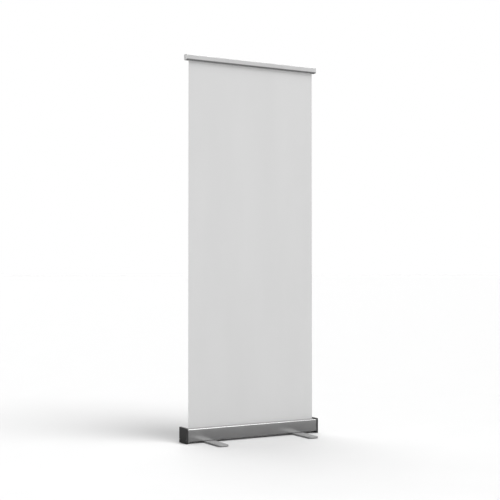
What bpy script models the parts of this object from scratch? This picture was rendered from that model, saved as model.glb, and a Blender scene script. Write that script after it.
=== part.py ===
"""Roll-up banner stand.

A printed film winds onto a spring roller inside an aluminium cassette. Two feet
swivel out from under the cassette, a three-section pole stands in a socket at
its back, and the top of the film is clamped in a snap-open rail that hooks onto
the pole. The origin is on the floor in the middle of the footprint: +X runs
along the width, the banner faces -Y and +Z is up. All lengths are in metres.
"""
import math

import bmesh
import bpy
from mathutils import Matrix, Vector

for old in list(bpy.data.objects):
    bpy.data.objects.remove(old, do_unlink=True)

# ---- Driving dimensions -------------------------------------------------
BANNER_WIDTH = 0.800
OVERALL_HEIGHT = 2.118
FILM = 0.0004            # thickness of the printed film
GAP = 0.0003             # clearance between seated or running neighbours

# Cassette: an aluminium extrusion between two moulded end caps.
BASE_OVERHANG = 0.024    # how far each end passes the film's edge
BASE_DEPTH = 0.090
BASE_TOP = 0.080
BASE_UNDERSIDE = 0.012   # the feet fold into the space below it
BASE_WALL = 0.002
BASE_CORNER = 0.005
CAP_THICKNESS = 0.012
CAP_PROUD = 0.001        # the caps stand this far outside the extrusion
CAP_TOP = 0.085
CAP_CORNER = 0.004
SLOT_WIDTH = 0.008
SCREW_INSET = 0.0075     # screw line from the extrusion's outer faces
SCREW_BOSS = 0.0125
SCREW_RADIUS = 0.0017
SCREW_LENGTH = 0.020
SCREW_HEAD_RADIUS = 0.0036
SCREW_HEAD_HEIGHT = 0.0024
TAB_REACH = 0.010
TAB_WALL = 0.002
TAB_HALF_HEIGHT = 0.018
HUB_RADIUS = 0.011
HUB_REACH = 0.006

# Roller with its spring.
ROLLER_HEIGHT = 0.042
ROLLER_RADIUS = 0.016
ROLLER_WALL = 0.0012
ROLLER_PAST_FILM = 0.0025
WOUND_FILM = 0.0009      # film left on the roller when the banner is up
SHAFT_RADIUS = 0.004
SHAFT_IN_CAP = 0.006
SPRING_SHAFT_LENGTH = 0.310
IDLE_PIN_LENGTH = 0.044
PLUG_FLANGE = 0.002
PLUG_SPIGOT = 0.018
SPRING_WIRE = 0.0009
SPRING_TURNS = 18
SPRING_ANCHOR = 0.008

# Feet.
FOOT_WIDTH = 0.062
FOOT_FRONT = 0.220       # swivel bolt to front end
FOOT_REAR = 0.115        # swivel bolt to rear end
FOOT_SPACING = 0.570     # between the two swivel bolts
FOOT_THICKNESS = 0.0087
FOOT_FRONT_CORNER = 0.018
FOOT_REAR_CORNER = 0.028
FOOT_EDGE = 0.0018
PAD_THICKNESS = 0.0015
PAD_LENGTH = 0.014
PAD_WIDTH = 0.040
PAD_INSET = 0.008
BOLT_RADIUS = 0.003
BOLT_HEAD_RADIUS = 0.0058
BOLT_HEAD_HEIGHT = 0.0028
BOLT_PAST_NUT = 0.001
NUT_RADIUS = 0.0062
NUT_HEIGHT = 0.005
WASHER_RADIUS = 0.009

# Telescopic pole.
POLE_RADIUS = 0.011      # lowest and widest section
POLE_WALL = 0.001
POLE_STEP = 0.002        # each section's radius is this much smaller
POLE_OVERLAP = 0.060
PEG_RADIUS = 0.0065
PEG_LENGTH = 0.045
PEG_SPIGOT = 0.020
SOCKET_WALL = 0.0025
SOCKET_FLANGE = 0.002
SOCKET_FLOOR = 0.005
BUSH_WALL = 0.0004
BUSH_FLANGE = 0.0025
BUSH_SKIRT = 0.025
GLIDE_LENGTH = 0.012
GLIDE_LIP = 0.0012
COLLAR_SKIRT = 0.030     # length of a twist collar below the tube's end
COLLAR_LIP = 0.0035
COLLAR_WALL = 0.0024
COLLAR_RIBS = 12
COLLAR_RIB_DEPTH = 0.0004
COLLAR_PLAY = 0.0004

# Top rail: a hollow rear half, and a front jaw that hinges open.
RAIL_OVERHANG = 0.0205
RAIL_HEIGHT = 0.031
RAIL_DEPTH = 0.030
RAIL_WALL = 0.0016
RAIL_CORNER = 0.003
RAIL_CAP_THICKNESS = 0.003
RAIL_CAP_SPIGOT = 0.008
HINGE_DROP = 0.0035      # hinge line below the rail's top
BEAD_RADIUS = 0.0017
BEAD_SOCKET_WALL = 0.0014
NECK_HALF = 0.0009
JAW_LIP = 0.006
HOOK_THICKNESS = 0.0098
HOOK_WIDTH = 0.020
HOOK_SPIGOT = 0.020
TONGUE_HEIGHT = 0.012
TONGUE_CLEARANCE = 0.002

ROUND = 32               # sides of a large round piece
SMALL_ROUND = 20         # sides of a fastener

# ---- Places worked out from the dimensions --------------------------------
BASE_MIDDLE = (FOOT_FRONT - FOOT_REAR) / 2
BASE_FRONT = BASE_MIDDLE - BASE_DEPTH / 2
BASE_BACK = BASE_MIDDLE + BASE_DEPTH / 2
BASE_HALF = BANNER_WIDTH / 2 + BASE_OVERHANG
CAP_FACE = BASE_HALF - CAP_THICKNESS
SHELL_HALF = CAP_FACE - GAP
SHELL_FRONT = BASE_FRONT + CAP_PROUD
SHELL_BACK = BASE_BACK - CAP_PROUD
WOUND_RADIUS = ROLLER_RADIUS + GAP + WOUND_FILM
FILM_Y = BASE_MIDDLE - WOUND_RADIUS - GAP - FILM / 2
ROLLER_HALF = BANNER_WIDTH / 2 + ROLLER_PAST_FILM
SHAFT_END = CAP_FACE + SHAFT_IN_CAP

POLE_Y = SHELL_BACK - BASE_WALL - GAP - PEG_RADIUS - GAP - SOCKET_WALL
SOCKET_TOP = BASE_TOP + GAP + SOCKET_FLANGE
POLE_BOTTOM = SOCKET_TOP + GAP + SOCKET_FLANGE + GAP
RAIL_TOP = OVERALL_HEIGHT
RAIL_BOTTOM = RAIL_TOP - RAIL_HEIGHT
POLE_TOP = RAIL_BOTTOM - GAP - HOOK_THICKNESS - GAP
SECTION = (POLE_TOP - POLE_BOTTOM + 2 * POLE_OVERLAP) / 3

RAIL_HALF = BANNER_WIDTH / 2 + RAIL_OVERHANG
RAIL_BODY_HALF = RAIL_HALF - RAIL_CAP_THICKNESS - GAP
RAIL_FRONT = FILM_Y - RAIL_DEPTH / 2
RAIL_BACK = FILM_Y + RAIL_DEPTH / 2
HINGE_Z = RAIL_TOP - HINGE_DROP
BEAD_SOCKET = BEAD_RADIUS + GAP
FILM_TOP = HINGE_Z - BEAD_SOCKET - BEAD_SOCKET_WALL - GAP
CLAMP_BACK = FILM_Y + FILM / 2 + GAP
CLAMP_FRONT = FILM_Y - FILM / 2 - GAP

FOOT_BOTTOM = PAD_THICKNESS + GAP
FOOT_TOP = FOOT_BOTTOM + FOOT_THICKNESS


# ---- Modelling helpers ----------------------------------------------------
def material(name, colour, metallic, roughness):
    """A Principled material."""
    made = bpy.data.materials.new(name)
    made.use_nodes = True
    shader = made.node_tree.nodes["Principled BSDF"]
    shader.inputs["Base Color"].default_value = (*colour, 1.0)
    shader.inputs["Metallic"].default_value = metallic
    shader.inputs["Roughness"].default_value = roughness
    made.diffuse_color = (*colour, 1.0)
    return made


def arc(centre, radius, start, end, steps):
    """Points on an arc, from one angle in degrees to another."""
    points = []
    for step in range(steps + 1):
        angle = math.radians(start + (end - start) * step / steps)
        points.append((centre[0] + radius * math.cos(angle), centre[1] + radius * math.sin(angle)))
    return points


def filleted(corners, steps=4):
    """A closed outline through (a, b, radius) corners, each rounded to its radius."""
    points = []
    for index, (a, b, radius) in enumerate(corners):
        corner = Vector((a, b))
        if radius == 0:
            points.append((a, b))
            continue
        following = corners[(index + 1) % len(corners)]
        before = (Vector(corners[index - 1][:2]) - corner).normalized()
        after = (Vector(following[:2]) - corner).normalized()
        half = before.angle(after) / 2
        centre = corner + (before + after).normalized() * radius / math.sin(half)
        first = corner + before * radius / math.tan(half) - centre
        turn = first.angle_signed(corner + after * radius / math.tan(half) - centre)
        start = math.degrees(math.atan2(first.y, first.x))
        points += arc(centre, radius, start, start - math.degrees(turn), steps)
    return points


def solid(name, mesh, finish):
    """An object with one material, its faces outward and its round faces smooth."""
    bmesh.ops.recalc_face_normals(mesh, faces=mesh.faces)
    data = bpy.data.meshes.new(name)
    mesh.to_mesh(data)
    mesh.free()
    data.materials.append(finish)
    data.shade_smooth()
    data.set_sharp_from_angle(angle=math.radians(35))
    made = bpy.data.objects.new(name, data)
    bpy.context.scene.collection.objects.link(made)
    return made


def prism(name, outline, start, end, along, finish):
    """A flat outline pushed along X, given as (y, z), or along Z, given as (x, y)."""
    mesh = bmesh.new()
    rims = []
    for level in (start, end):
        if along == "X":
            rims.append([mesh.verts.new((level, a, b)) for a, b in outline])
        else:
            rims.append([mesh.verts.new((a, b, level)) for a, b in outline])
    count = len(outline)
    mesh.faces.new(rims[0])
    mesh.faces.new(rims[1])
    for index in range(count):
        following = (index + 1) % count
        mesh.faces.new((rims[0][index], rims[0][following], rims[1][following], rims[1][index]))
    return solid(name, mesh, finish)


def box(name, low, high, finish):
    """A block between two corners."""
    outline = [(low[0], low[1]), (high[0], low[1]), (high[0], high[1]), (low[0], high[1])]
    return prism(name, outline, low[2], high[2], "Z", finish)


def turned(name, profile, centre, axis, finish, sides=ROUND, rib=None):
    """A closed (radius, height) outline turned about X or Z through a centre.

    A rib of (count, depth) makes the points on the largest radius wavy.
    """
    mesh = bmesh.new()
    widest = max(radius for radius, height in profile)
    rings = []
    for radius, height in profile:
        ring = []
        for side in range(1 if radius == 0 else sides):
            angle = 2 * math.pi * side / sides
            reach = radius
            if rib and radius == widest:
                reach += rib[1] * math.cos(rib[0] * angle)
            a = reach * math.cos(angle)
            b = reach * math.sin(angle)
            offset = (height, a, b) if axis == "X" else (a, b, height)
            ring.append(mesh.verts.new(Vector(centre) + Vector(offset)))
        rings.append(ring)
    for index, ring in enumerate(rings):
        other = rings[(index + 1) % len(rings)]
        if len(ring) == 1 and len(other) == 1:
            continue
        for side in range(sides):
            following = (side + 1) % sides
            corners = [ring[side % len(ring)], other[side % len(other)]]
            if len(other) > 1:
                corners.append(other[following])
            if len(ring) > 1:
                corners.append(ring[following])
            mesh.faces.new(corners)
    return solid(name, mesh, finish)


def rod(name, radius, start, end, centre, axis, finish, sides=SMALL_ROUND, chamfer=0.0):
    """A round bar with chamfered ends."""
    profile = [(0, start), (radius - chamfer, start), (radius, start + chamfer)]
    profile += [(radius, end - chamfer), (radius - chamfer, end), (0, end)]
    if chamfer == 0.0:
        profile = [(0, start), (radius, start), (radius, end), (0, end)]
    return turned(name, profile, centre, axis, finish, sides)


def tube(name, outer, inner, start, end, centre, axis, finish, sides=ROUND):
    """A round tube with open ends."""
    profile = [(inner, start), (outer, start), (outer, end), (inner, end)]
    return turned(name, profile, centre, axis, finish, sides)


def combine(target, tool, operation):
    """Cut a tool from a piece or join it on; the tool itself is left out of the object."""
    tool.hide_render = True
    tool.display_type = "WIRE"
    modifier = target.modifiers.new(operation.lower() + " " + tool.name, "BOOLEAN")
    modifier.operation = operation
    modifier.solver = "EXACT"
    modifier.object = tool


def cut(target, tool):
    combine(target, tool, "DIFFERENCE")


def join(target, tool):
    combine(target, tool, "UNION")


def soften(target, width, segments=2, angle=50):
    """Round the sharp edges of a piece."""
    modifier = target.modifiers.new("edge", "BEVEL")
    modifier.width = width
    modifier.segments = segments
    modifier.limit_method = "ANGLE"
    modifier.angle_limit = math.radians(angle)


def carrier(name, place):
    """An empty on a joint's axis, which carries the pieces that move with it."""
    empty = bpy.data.objects.new(name, None)
    empty.location = place
    empty.empty_display_size = 0.03
    bpy.context.scene.collection.objects.link(empty)
    return empty


def carry(empty, *pieces):
    """Hang pieces on a carrier without moving them."""
    for piece in pieces:
        piece.data.transform(Matrix.Translation(-empty.location))
        piece.parent = empty


ANODISED = material("grey_anodised_aluminium", (0.19, 0.19, 0.19), 0.85, 0.32)
SILVER = material("silver_aluminium", (0.62, 0.62, 0.62), 0.9, 0.35)
BLACK_PLASTIC = material("black_plastic", (0.045, 0.045, 0.045), 0.0, 0.42)
GREY_PLASTIC = material("light_grey_plastic", (0.60, 0.60, 0.60), 0.0, 0.45)
STEEL = material("zinc_steel", (0.55, 0.55, 0.56), 1.0, 0.3)
RUBBER = material("rubber", (0.03, 0.03, 0.03), 0.0, 0.8)
PRINT_FILM = material("banner_film", (0.64, 0.64, 0.64), 0.0, 0.5)


# ---- Cassette ---------------------------------------------------------------
SCREW_PLACES = {
    "front": SHELL_FRONT + SCREW_INSET,
    "rear": SHELL_BACK - SCREW_INSET,
}
SCREW_HEIGHT = BASE_UNDERSIDE + SCREW_INSET


def cassette_extrusion():
    """The housing: one C-shaped section with the film slot on top and screw bosses below."""
    slot_front = FILM_Y - SLOT_WIDTH / 2
    slot_back = FILM_Y + SLOT_WIDTH / 2
    inner_front = SHELL_FRONT + BASE_WALL
    inner_back = SHELL_BACK - BASE_WALL
    floor = BASE_UNDERSIDE + BASE_WALL
    ceiling = BASE_TOP - BASE_WALL
    boss_top = BASE_UNDERSIDE + SCREW_BOSS
    inside = BASE_CORNER - BASE_WALL
    outline = filleted([
        (slot_front, BASE_TOP, 0),
        (SHELL_FRONT, BASE_TOP, BASE_CORNER),
        (SHELL_FRONT, BASE_UNDERSIDE, BASE_WALL),
        (SHELL_BACK, BASE_UNDERSIDE, BASE_WALL),
        (SHELL_BACK, BASE_TOP, BASE_CORNER),
        (slot_back, BASE_TOP, 0),
        (slot_back, ceiling, 0),
        (inner_back, ceiling, inside),
        (inner_back, boss_top, 0),
        (SHELL_BACK - SCREW_BOSS, boss_top, inside),
        (SHELL_BACK - SCREW_BOSS, floor, 0),
        (SHELL_FRONT + SCREW_BOSS, floor, 0),
        (SHELL_FRONT + SCREW_BOSS, boss_top, inside),
        (inner_front, boss_top, 0),
        (inner_front, ceiling, inside),
        (slot_front, ceiling, 0),
    ])
    shell = prism("cassette_extrusion", outline, -SHELL_HALF, SHELL_HALF, "X", ANODISED)
    for place, y in SCREW_PLACES.items():
        bore = rod("screw_bore_" + place, SCREW_RADIUS + GAP, -BASE_HALF, BASE_HALF,
                   (0, y, SCREW_HEIGHT), "X", ANODISED, 12)
        cut(shell, bore)
    hole = rod("pole_hole", PEG_RADIUS + 2 * GAP + SOCKET_WALL, BASE_TOP - 0.01, BASE_TOP + 0.01,
               (0, POLE_Y, 0), "Z", ANODISED, ROUND)
    cut(shell, hole)
    for side in (-1, 1):
        bolt_hole = rod("bolt_hole", BOLT_RADIUS + GAP, 0, BASE_UNDERSIDE + 0.01,
                        (side * FOOT_SPACING / 2, BASE_MIDDLE, 0), "Z", ANODISED)
        cut(shell, bolt_hole)
    return shell


def end_cap(name, side):
    """A moulded cap: face plate, hub for the axle and two tabs that locate in the extrusion."""
    outline = filleted([
        (BASE_FRONT, 0, 0.002),
        (BASE_BACK, 0, 0.002),
        (BASE_BACK, CAP_TOP, CAP_CORNER),
        (BASE_FRONT, CAP_TOP, CAP_CORNER),
    ])
    low, high = sorted((side * CAP_FACE, side * BASE_HALF))
    cap = prism(name, outline, low, high, "X", BLACK_PLASTIC)
    soften(cap, 0.0015)
    seat = side * CAP_FACE
    sunk = seat + side * 0.002
    hub = rod("hub", HUB_RADIUS, *sorted((sunk, seat - side * HUB_REACH)),
              (0, BASE_MIDDLE, ROLLER_HEIGHT), "X", BLACK_PLASTIC)
    join(cap, hub)
    faces = (SHELL_FRONT + BASE_WALL + GAP, SHELL_BACK - BASE_WALL - GAP - TAB_WALL)
    for near in faces:
        middle = (SCREW_HEIGHT + SCREW_BOSS + BASE_TOP) / 2
        low_x, high_x = sorted((sunk, seat - side * TAB_REACH))
        tab = box("tab", (low_x, near, middle - TAB_HALF_HEIGHT),
                  (high_x, near + TAB_WALL, middle + TAB_HALF_HEIGHT), BLACK_PLASTIC)
        join(cap, tab)
    axle_bore = rod("axle_bore", SHAFT_RADIUS + GAP,
                    *sorted((side * (SHAFT_END + GAP), seat - side * 2 * HUB_REACH)),
                    (0, BASE_MIDDLE, ROLLER_HEIGHT), "X", BLACK_PLASTIC)
    cut(cap, axle_bore)
    for y in SCREW_PLACES.values():
        hole = rod("screw_hole", SCREW_RADIUS + GAP, *sorted((seat - side * 0.002, side * BASE_HALF)),
                   (0, y, SCREW_HEIGHT), "X", BLACK_PLASTIC, 12)
        cut(cap, hole)
        recess = rod("screw_recess", SCREW_HEAD_RADIUS + GAP,
                     *sorted((side * (BASE_HALF - SCREW_HEAD_HEIGHT - 2 * GAP), side * (BASE_HALF + 0.002))),
                     (0, y, SCREW_HEIGHT), "X", BLACK_PLASTIC, 16)
        cut(cap, recess)
    return cap


def cap_screw(name, side, y):
    """A pan-head screw that holds an end cap to the extrusion's boss."""
    face = BASE_HALF - GAP
    under_head = face - SCREW_HEAD_HEIGHT
    profile = [(0, face), (SCREW_HEAD_RADIUS * 0.6, face),
               (SCREW_HEAD_RADIUS, face - SCREW_HEAD_HEIGHT * 0.5),
               (SCREW_HEAD_RADIUS, under_head), (SCREW_RADIUS, under_head),
               (SCREW_RADIUS, under_head - SCREW_LENGTH), (0, under_head - SCREW_LENGTH)]
    mirrored = [(radius, side * height) for radius, height in profile]
    return turned(name, mirrored, (0, y, SCREW_HEIGHT), "X", STEEL, 12)


def pole_socket():
    """The plastic cup in the cassette's top that the pole's peg drops into."""
    bore = PEG_RADIUS + GAP
    outer = bore + SOCKET_WALL
    bottom = BASE_UNDERSIDE + SCREW_BOSS + GAP
    flange_bottom = BASE_TOP + GAP
    profile = [(0, bottom), (outer, bottom), (outer, flange_bottom), (POLE_RADIUS, flange_bottom),
               (POLE_RADIUS, SOCKET_TOP), (bore, SOCKET_TOP), (bore, bottom + SOCKET_FLOOR),
               (0, bottom + SOCKET_FLOOR)]
    return turned("pole_socket", profile, (0, POLE_Y, 0), "Z", BLACK_PLASTIC)


cassette_extrusion()
for label, side in (("left", -1), ("right", 1)):
    end_cap("end_cap_" + label, side)
    for place, y in SCREW_PLACES.items():
        cap_screw("cap_screw_" + label + "_" + place, side, y)
pole_socket()


# ---- Roller, spring and film ------------------------------------------------
AXLE = (0, BASE_MIDDLE, ROLLER_HEIGHT)
TUBE_BORE = ROLLER_RADIUS - ROLLER_WALL


def roller_plug(name, side):
    """The flanged plug that closes one end of the roller and turns on the axle."""
    near = ROLLER_HALF - PLUG_SPIGOT
    far = ROLLER_HALF + GAP
    bore = SHAFT_RADIUS + GAP
    profile = [(bore, near), (TUBE_BORE - GAP, near), (TUBE_BORE - GAP, far),
               (ROLLER_RADIUS, far), (ROLLER_RADIUS, far + PLUG_FLANGE), (bore, far + PLUG_FLANGE)]
    mirrored = [(radius, side * height) for radius, height in profile]
    return turned(name, mirrored, AXLE, "X", GREY_PLASTIC)


def torsion_spring():
    """The coiled wire between the fixed shaft and the roller."""
    coil = SHAFT_RADIUS + GAP + SPRING_WIRE
    start = SHAFT_END - SPRING_SHAFT_LENGTH + 2 * SPRING_ANCHOR + GAP + SPRING_WIRE
    end = ROLLER_HALF - PLUG_SPIGOT - GAP - SPRING_WIRE
    steps = SPRING_TURNS * 10
    around = 5
    mesh = bmesh.new()
    rings = []
    for step in range(steps + 1):
        share = step / steps
        turn = 2 * math.pi * SPRING_TURNS * share
        outward = Vector((0, math.cos(turn), math.sin(turn)))
        middle = Vector(AXLE) + Vector((start + (end - start) * share, 0, 0)) + outward * coil
        ring = []
        for side in range(around):
            angle = 2 * math.pi * side / around
            offset = outward * math.cos(angle) + Vector((math.sin(angle), 0, 0))
            ring.append(mesh.verts.new(middle + offset * SPRING_WIRE))
        rings.append(ring)
    for ring, other in zip(rings, rings[1:]):
        for side in range(around):
            following = (side + 1) % around
            mesh.faces.new((ring[side], ring[following], other[following], other[side]))
    mesh.faces.new(rings[0])
    mesh.faces.new(rings[-1])
    return solid("torsion_spring", mesh, STEEL)


def roller_parts():
    """Everything that turns with the roller."""
    bearing_start = SHAFT_END - SPRING_SHAFT_LENGTH
    return [
        tube("roller_tube", ROLLER_RADIUS, TUBE_BORE, -ROLLER_HALF, ROLLER_HALF, AXLE, "X", SILVER),
        roller_plug("roller_plug_idle", -1),
        roller_plug("roller_plug_spring", 1),
        tube("shaft_bearing", TUBE_BORE - GAP, SHAFT_RADIUS + GAP, bearing_start,
             bearing_start + SPRING_ANCHOR - GAP, AXLE, "X", GREY_PLASTIC),
        tube("banner_roll", WOUND_RADIUS, ROLLER_RADIUS + GAP, -BANNER_WIDTH / 2, BANNER_WIDTH / 2,
             AXLE, "X", PRINT_FILM, 40),
    ]


def banner():
    """The film from the roll, up through the slot and into the rail's clamp."""
    half = BANNER_WIDTH / 2
    low = (-half, FILM_Y - FILM / 2, ROLLER_HEIGHT)
    high = (half, FILM_Y + FILM / 2, FILM_TOP)
    return box("banner", low, high, PRINT_FILM)


carry(carrier("roller_axis", AXLE), *roller_parts())
rod("spring_shaft", SHAFT_RADIUS, SHAFT_END - SPRING_SHAFT_LENGTH, SHAFT_END, AXLE, "X", STEEL)
rod("idle_pin", SHAFT_RADIUS, -SHAFT_END, -SHAFT_END + IDLE_PIN_LENGTH, AXLE, "X", STEEL)
tube("spring_anchor", SHAFT_RADIUS + 0.004, SHAFT_RADIUS + GAP,
     SHAFT_END - SPRING_SHAFT_LENGTH + SPRING_ANCHOR,
     SHAFT_END - SPRING_SHAFT_LENGTH + 2 * SPRING_ANCHOR, AXLE, "X", STEEL)
torsion_spring()
banner()


# ---- Feet -------------------------------------------------------------------
def foot(name, x):
    """A flat bar with rounded ends and a counterbored swivel hole."""
    half = FOOT_WIDTH / 2
    outline = filleted([
        (x - half, BASE_MIDDLE - FOOT_FRONT, FOOT_FRONT_CORNER),
        (x + half, BASE_MIDDLE - FOOT_FRONT, FOOT_FRONT_CORNER),
        (x + half, BASE_MIDDLE + FOOT_REAR, FOOT_REAR_CORNER),
        (x - half, BASE_MIDDLE + FOOT_REAR, FOOT_REAR_CORNER),
    ], steps=6)
    bar = prism(name, outline, FOOT_BOTTOM, FOOT_TOP, "Z", SILVER)
    soften(bar, FOOT_EDGE)
    centre = (x, BASE_MIDDLE, 0)
    cut(bar, rod("swivel_hole", BOLT_RADIUS + GAP, 0, BASE_UNDERSIDE, centre, "Z", SILVER))
    head_top = FOOT_BOTTOM + 2 * GAP + BOLT_HEAD_HEIGHT
    cut(bar, rod("head_recess", BOLT_HEAD_RADIUS + GAP, 0, head_top, centre, "Z", SILVER))
    return bar


def foot_pad(name, x, y):
    """A rubber pad under one end of a foot."""
    half_x = PAD_WIDTH / 2
    half_y = PAD_LENGTH / 2
    corner = PAD_LENGTH * 0.4
    outline = filleted([
        (x - half_x, y - half_y, corner),
        (x + half_x, y - half_y, corner),
        (x + half_x, y + half_y, corner),
        (x - half_x, y + half_y, corner),
    ])
    return prism(name, outline, 0, PAD_THICKNESS, "Z", RUBBER)


def swivel_bolt(name, x):
    """The bolt that a foot swivels on; its head is sunk in the foot."""
    head_bottom = FOOT_BOTTOM + GAP
    head_top = head_bottom + BOLT_HEAD_HEIGHT
    end = BASE_UNDERSIDE + BASE_WALL + GAP + NUT_HEIGHT + BOLT_PAST_NUT
    profile = [(0, head_bottom), (BOLT_HEAD_RADIUS * 0.8, head_bottom),
               (BOLT_HEAD_RADIUS, head_bottom + BOLT_HEAD_HEIGHT * 0.4), (BOLT_HEAD_RADIUS, head_top),
               (BOLT_RADIUS, head_top), (BOLT_RADIUS, end), (0, end)]
    return turned(name, profile, (x, BASE_MIDDLE, 0), "Z", STEEL, SMALL_ROUND)


for label, side in (("left", -1), ("right", 1)):
    x = side * FOOT_SPACING / 2
    pivot = carrier("foot_pivot_" + label, (x, BASE_MIDDLE, 0))
    front = BASE_MIDDLE - FOOT_FRONT + PAD_INSET + PAD_LENGTH / 2
    rear = BASE_MIDDLE + FOOT_REAR - PAD_INSET - PAD_LENGTH / 2
    carry(pivot, foot("foot_" + label, x),
          foot_pad("foot_pad_" + label + "_front", x, front),
          foot_pad("foot_pad_" + label + "_rear", x, rear))
    swivel_bolt("swivel_bolt_" + label, x)
    tube("swivel_washer_" + label, WASHER_RADIUS, BOLT_RADIUS + GAP, FOOT_TOP + GAP,
         BASE_UNDERSIDE - GAP, (x, BASE_MIDDLE, 0), "Z", STEEL, SMALL_ROUND)
    nut_bottom = BASE_UNDERSIDE + BASE_WALL + GAP
    nut_bore = rod("nut_bore", BOLT_RADIUS + GAP, nut_bottom - 0.002, nut_bottom + 2 * NUT_HEIGHT,
                   (x, BASE_MIDDLE, 0), "Z", STEEL)
    cut(rod("swivel_nut_" + label, NUT_RADIUS, nut_bottom, nut_bottom + NUT_HEIGHT,
            (x, BASE_MIDDLE, 0), "Z", STEEL, 6), nut_bore)


# ---- Telescopic pole ----------------------------------------------------------
POLE_AXIS = (0, POLE_Y, 0)


def section_span(number):
    """Lower and upper end of a pole section, counted from 0 at the bottom."""
    bottom = POLE_BOTTOM + number * (SECTION - POLE_OVERLAP)
    return bottom, bottom + SECTION


def pole_tube(name, number):
    """One thin-walled section."""
    radius = POLE_RADIUS - number * POLE_STEP
    return tube(name, radius, radius - POLE_WALL, *section_span(number), POLE_AXIS, "Z", SILVER)


def pole_plug():
    """The plug in the lowest section, with the peg that stands in the socket."""
    flange_bottom = SOCKET_TOP + GAP
    flange_top = flange_bottom + SOCKET_FLANGE
    spigot = POLE_RADIUS - POLE_WALL - GAP
    peg_bottom = flange_bottom - PEG_LENGTH
    profile = [(0, peg_bottom), (PEG_RADIUS - 0.001, peg_bottom), (PEG_RADIUS, peg_bottom + 0.001),
               (PEG_RADIUS, flange_bottom), (POLE_RADIUS, flange_bottom), (POLE_RADIUS, flange_top),
               (spigot, flange_top), (spigot, flange_top + PEG_SPIGOT), (0, flange_top + PEG_SPIGOT)]
    return turned("pole_plug", profile, POLE_AXIS, "Z", BLACK_PLASTIC)


def pole_bush(name, number):
    """The flanged bush in a section's upper end, which steadies the next section."""
    top = section_span(number)[1]
    next_radius = POLE_RADIUS - (number + 1) * POLE_STEP
    bore = next_radius + GAP
    profile = [(bore, top - BUSH_SKIRT), (bore + BUSH_WALL, top - BUSH_SKIRT),
               (bore + BUSH_WALL, top + GAP), (next_radius + POLE_STEP, top + GAP),
               (next_radius + POLE_STEP, top + BUSH_FLANGE), (bore, top + BUSH_FLANGE)]
    return turned(name, profile, POLE_AXIS, "Z", BLACK_PLASTIC)


def pole_glide(name, number):
    """The sleeve round a section's lower end, which runs inside the section below."""
    bottom = section_span(number)[0]
    radius = POLE_RADIUS - number * POLE_STEP
    outer = radius + GAP + BUSH_WALL
    lip = radius - POLE_WALL - GAP
    profile = [(lip, bottom - GAP - GLIDE_LIP), (outer, bottom - GAP - GLIDE_LIP),
               (outer, bottom + GLIDE_LENGTH), (radius + GAP, bottom + GLIDE_LENGTH),
               (radius + GAP, bottom - GAP), (lip, bottom - GAP)]
    return turned(name, profile, POLE_AXIS, "Z", BLACK_PLASTIC)


def twist_collar(name, number):
    """The ribbed collar on a section's upper end; a quarter turn locks the next section."""
    top = section_span(number)[1]
    radius = POLE_RADIUS - number * POLE_STEP
    bore = radius + COLLAR_PLAY
    outer = bore + COLLAR_WALL
    throat = radius - POLE_STEP + COLLAR_PLAY
    ceiling = top + BUSH_FLANGE + GAP
    profile = [(bore, top - COLLAR_SKIRT), (outer - 0.0008, top - COLLAR_SKIRT),
               (outer, top - COLLAR_SKIRT + 0.0008), (outer, ceiling + COLLAR_LIP - 0.0012),
               (outer - 0.0012, ceiling + COLLAR_LIP), (throat, ceiling + COLLAR_LIP),
               (throat, ceiling), (bore, ceiling)]
    return turned(name, profile, POLE_AXIS, "Z", BLACK_PLASTIC, 4 * COLLAR_RIBS,
                  (COLLAR_RIBS, COLLAR_RIB_DEPTH))


def pole_top_hook():
    """The fitting in the top section: an arm under the rail and a tongue up into it."""
    top = RAIL_BOTTOM - GAP
    half = HOOK_WIDTH / 2
    radius = POLE_RADIUS - 2 * POLE_STEP
    corner = radius * 0.9
    front = CLAMP_BACK + RAIL_WALL
    outline = filleted([
        (-half, front, 0.002),
        (half, front, 0.002),
        (half, POLE_Y - radius, 0),
        (radius, POLE_Y + radius, corner),
        (-radius, POLE_Y + radius, corner),
        (-half, POLE_Y - radius, 0),
    ])
    arm = prism("pole_top_hook", outline, POLE_TOP + GAP, top, "Z", BLACK_PLASTIC)
    spigot = rod("hook_spigot", radius - POLE_WALL - GAP, POLE_TOP - HOOK_SPIGOT, top - 0.002,
                 POLE_AXIS, "Z", BLACK_PLASTIC)
    join(arm, spigot)
    low, high = tongue_corners(0)
    tongue = box("hook_tongue", low, high, BLACK_PLASTIC)
    join(arm, tongue)
    return arm


def tongue_corners(clearance):
    """Corners of the hook's tongue, or of the hole it goes through."""
    half = HOOK_WIDTH / 2 - TONGUE_CLEARANCE
    front = CLAMP_BACK + RAIL_WALL + TONGUE_CLEARANCE
    back = RAIL_BACK - RAIL_WALL - TONGUE_CLEARANCE
    low = (-half - clearance, front - clearance, RAIL_BOTTOM - 0.002)
    high = (half + clearance, back + clearance, RAIL_BOTTOM + TONGUE_HEIGHT)
    return low, high


pole_tube("pole_lower_tube", 0)
pole_plug()
pole_bush("pole_lower_bush", 0)
collar_top = section_span(0)[1]
carry(carrier("lower_collar_axis", (0, POLE_Y, collar_top)), twist_collar("lower_twist_collar", 0))

middle_slide = carrier("pole_middle_slide", (0, POLE_Y, section_span(1)[0]))
carry(middle_slide, pole_tube("pole_middle_tube", 1), pole_bush("pole_upper_bush", 1),
      pole_glide("pole_middle_glide", 1))
collar_top = section_span(1)[1]
carry(carrier("upper_collar_axis", (0, POLE_Y, collar_top)), twist_collar("upper_twist_collar", 1))

rail_slide = carrier("rail_slide", (0, POLE_Y, POLE_TOP))
carry(rail_slide, pole_tube("pole_upper_tube", 2), pole_glide("pole_upper_glide", 2), pole_top_hook())


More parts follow.
